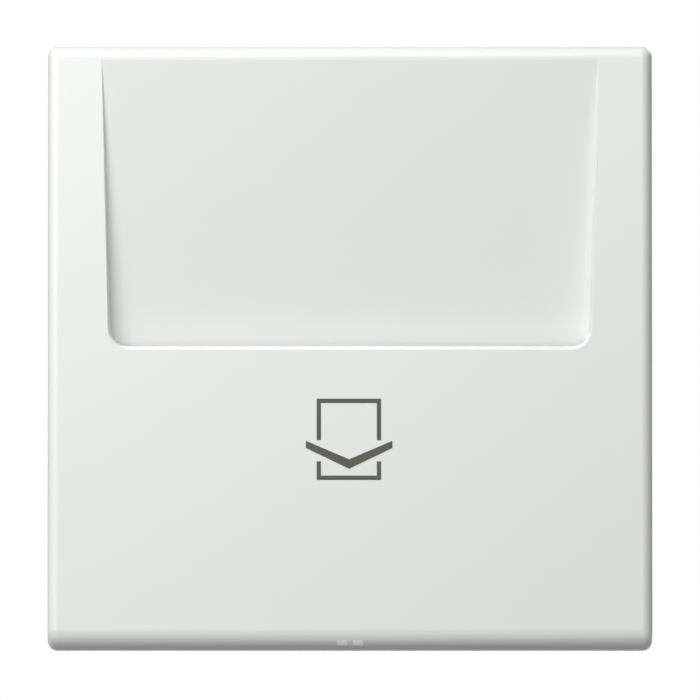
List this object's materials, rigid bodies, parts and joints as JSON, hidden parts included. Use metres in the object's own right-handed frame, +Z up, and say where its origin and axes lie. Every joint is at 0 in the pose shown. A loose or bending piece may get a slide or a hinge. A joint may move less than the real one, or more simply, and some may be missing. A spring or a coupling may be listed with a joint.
{
  "type": "hotel key card switch",
  "caption": "Flush wall switch with a sloping cover and a card rest, worked by a key card pushed down into its slot.",
  "frame": {"origin": "midway between the two box screws, on the wall plane, which is the rear face of the support plate", "axes": "+X to the right seen from the front, +Y into the wall, +Z up"},
  "size_m": [0.0702, 0.0463, 0.07],
  "materials": {
    "cover_plastic": "light grey, satin, moulded",
    "clear_plastic": "clear moulded plastic",
    "guide_plastic": "dark grey, fine moulded texture",
    "plated_steel": "zinc-plated steel",
    "plate_steel": "punched, galvanised sheet steel",
    "insert_plastic": "light grey thermoset",
    "key_plastic": "off-white moulded plastic",
    "spring_steel": "drawn spring wire and strip",
    "contact_brass": "punched brass strip",
    "contact_silver": "silver alloy contact tips",
    "button_plastic": "orange moulded plastic",
    "board_laminate": "green circuit board",
    "lamp_resin": "diffuse light emitting diode"
  },
  "bodies": {
    "switch": {"front_cover": "cover_plastic", "light_guide": "clear_plastic", "card_guide": "guide_plastic", "guide_screws": "plated_steel", "lever_pin": "plated_steel", "support_plate": "plate_steel", "insert_lid": "insert_plastic", "insert_base": "insert_plastic", "insert_screws": "plated_steel", "key_pin": "plated_steel", "key_spring": "spring_steel", "contact_spring": "spring_steel", "line_contact": "contact_brass", "load_contact": "contact_brass", "fixed_tips": "contact_silver", "line_clamp_springs": "spring_steel", "load_clamp_springs": "spring_steel", "lamp_holder": "guide_plastic", "lamp_board": "board_laminate", "lamp": "lamp_resin", "lamp_blades": "contact_brass", "claw_pins": "plated_steel"},
    "lever": {"card_lever": "guide_plastic"},
    "key": {"push_key": "key_plastic"},
    "plunger": {"contact_plunger": "key_plastic", "contact_bridge": "contact_brass", "bridge_tips": "contact_silver"},
    "line_release": {"line_release_button": "button_plastic"},
    "load_release": {"load_release_button": "button_plastic"},
    "claw_left": {"claw_left": "plate_steel"},
    "claw_right": {"claw_right": "plate_steel"},
    "claw_screw_left": {"claw_screw_left": "plated_steel"},
    "claw_screw_right": {"claw_screw_right": "plated_steel"},
    "claw_nut_left": {"claw_nut_left": "plated_steel"},
    "claw_nut_right": {"claw_nut_right": "plated_steel"}
  },
  "joints": [
    {"name": "lever_hinge", "type": "hinge", "parent": "switch", "child": "lever", "pos_m": [0, -0.0083, 0.008], "axis": [1, 0, 0], "range_deg": [0, 3.75], "stiffness_Nm_per_rad": 0.5, "springref_deg": -3.32},
    {"name": "key_hinge", "type": "hinge", "parent": "switch", "child": "key", "pos_m": [0, -0.0049, 0.017], "axis": [1, 0, 0], "range_deg": [0, 2.82], "deforming": ["key_spring"]},
    {"name": "plunger_slide", "type": "slide", "parent": "switch", "child": "plunger", "axis": [0, 1, 0], "range_m": [0, 0.00103], "deforming": ["contact_spring"]},
    {"name": "line_release_slide", "type": "slide", "parent": "switch", "child": "line_release", "axis": [0, -1, 0], "range_m": [0, 0.0016], "stiffness_N_per_m": 2000, "springref_m": -0.0005, "deforming": ["line_clamp_springs"]},
    {"name": "load_release_slide", "type": "slide", "parent": "switch", "child": "load_release", "axis": [0, -1, 0], "range_m": [0, 0.0016], "stiffness_N_per_m": 2000, "springref_m": -0.0005, "deforming": ["load_clamp_springs"]},
    {"name": "claw_screw_left_turn", "type": "hinge", "parent": "switch", "child": "claw_screw_left", "pos_m": [-0.0227, 0, 0], "axis": [0, 1, 0], "range_deg": [0, 1597]},
    {"name": "claw_nut_left_slide", "type": "slide", "parent": "switch", "child": "claw_nut_left", "axis": [0, -1, 0], "range_m": [0, 0.00222]},
    {"name": "claw_left_hinge", "type": "hinge", "parent": "switch", "child": "claw_left", "pos_m": [-0.018, 0.005, 0], "axis": [0, 0, 1], "range_deg": [0, 30]},
    {"name": "claw_screw_right_turn", "type": "hinge", "parent": "switch", "child": "claw_screw_right", "pos_m": [0.0227, 0, 0], "axis": [0, 1, 0], "range_deg": [0, 1597]},
    {"name": "claw_nut_right_slide", "type": "slide", "parent": "switch", "child": "claw_nut_right", "axis": [0, -1, 0], "range_m": [0, 0.00222]},
    {"name": "claw_right_hinge", "type": "hinge", "parent": "switch", "child": "claw_right", "pos_m": [0.018, 0.005, 0], "axis": [0, 0, -1], "range_deg": [0, 30]}
  ],
  "couplings": [
    {"joint": "key_hinge", "follows": "lever_hinge", "ratio": 0.7517},
    {"joint": "plunger_slide", "follows": "lever_hinge", "m_per_rad": 0.0158},
    {"joint": "claw_screw_left_turn", "follows": "claw_nut_left_slide", "rad_per_m": 12566},
    {"joint": "claw_left_hinge", "follows": "claw_nut_left_slide", "rad_per_m": 236},
    {"joint": "claw_screw_right_turn", "follows": "claw_nut_right_slide", "rad_per_m": 12566},
    {"joint": "claw_right_hinge", "follows": "claw_nut_right_slide", "rad_per_m": 236}
  ]
}
